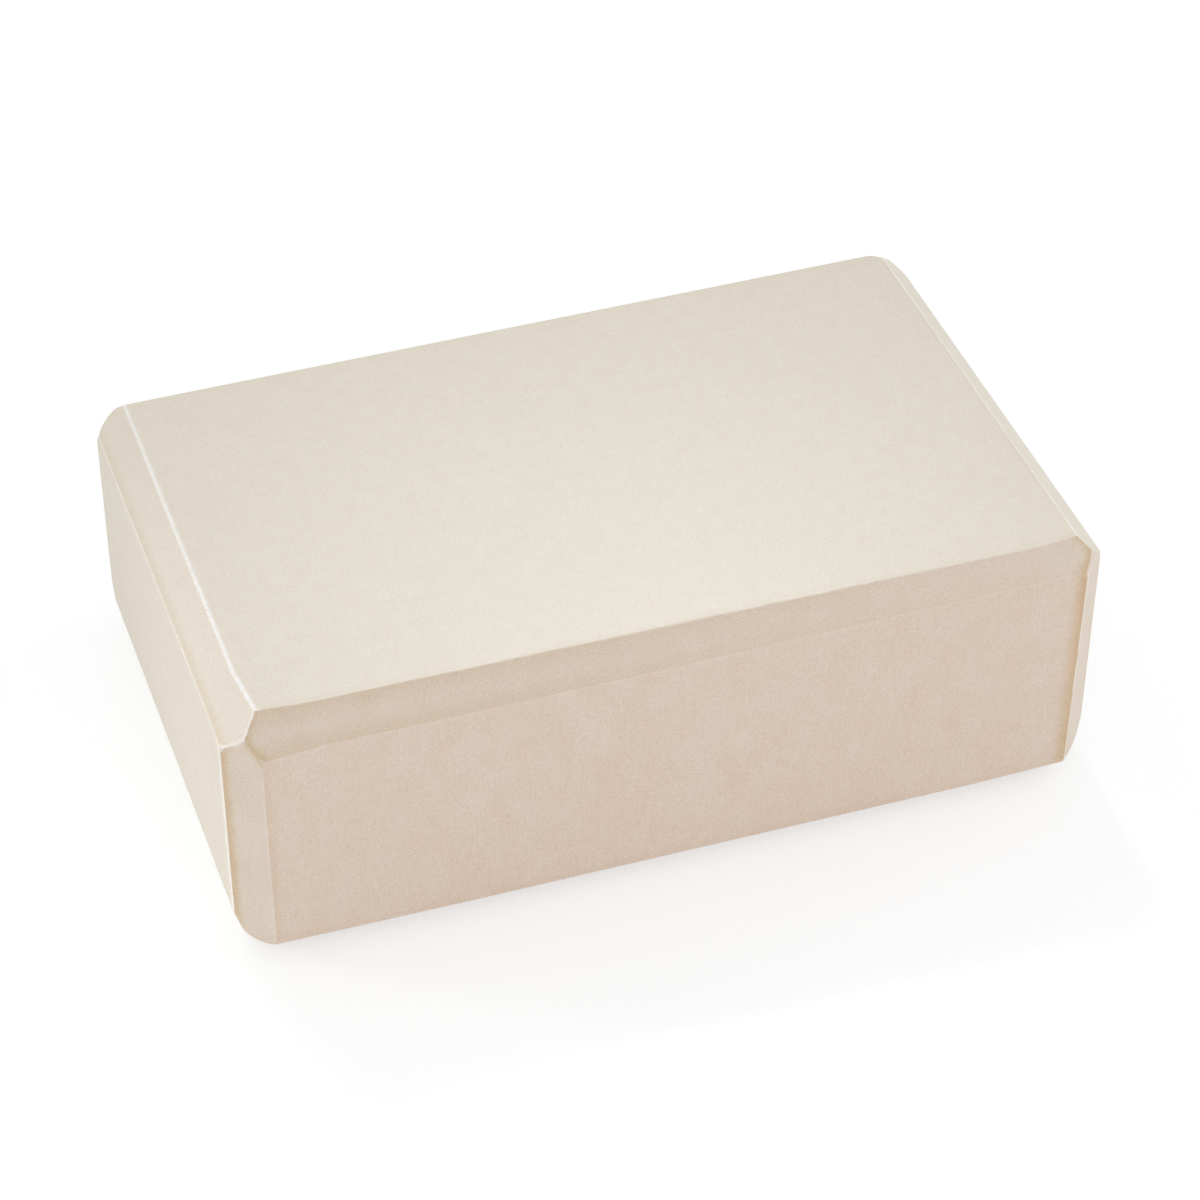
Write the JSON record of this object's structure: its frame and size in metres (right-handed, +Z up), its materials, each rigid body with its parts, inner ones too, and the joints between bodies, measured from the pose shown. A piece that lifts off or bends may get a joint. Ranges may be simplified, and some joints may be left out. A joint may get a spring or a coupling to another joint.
{
  "type": "yoga block",
  "caption": "Firm foam yoga brick with flat faces, a broad 45-degree cut along every edge and rounded corner tips; it lies, stands or stacks on any face as a support for floor exercise.",
  "frame": {"origin": "middle of the underside, the broad face that lies on the floor", "axes": "+X along the length, +Y along the width from the front long side to the back one, +Z up through the thickness"},
  "size_m": [0.23, 0.15, 0.075],
  "materials": {
    "eva_foam": "matte"
  },
  "bodies": {
    "root": {"foam_block": "eva_foam"}
  },
  "joints": []
}
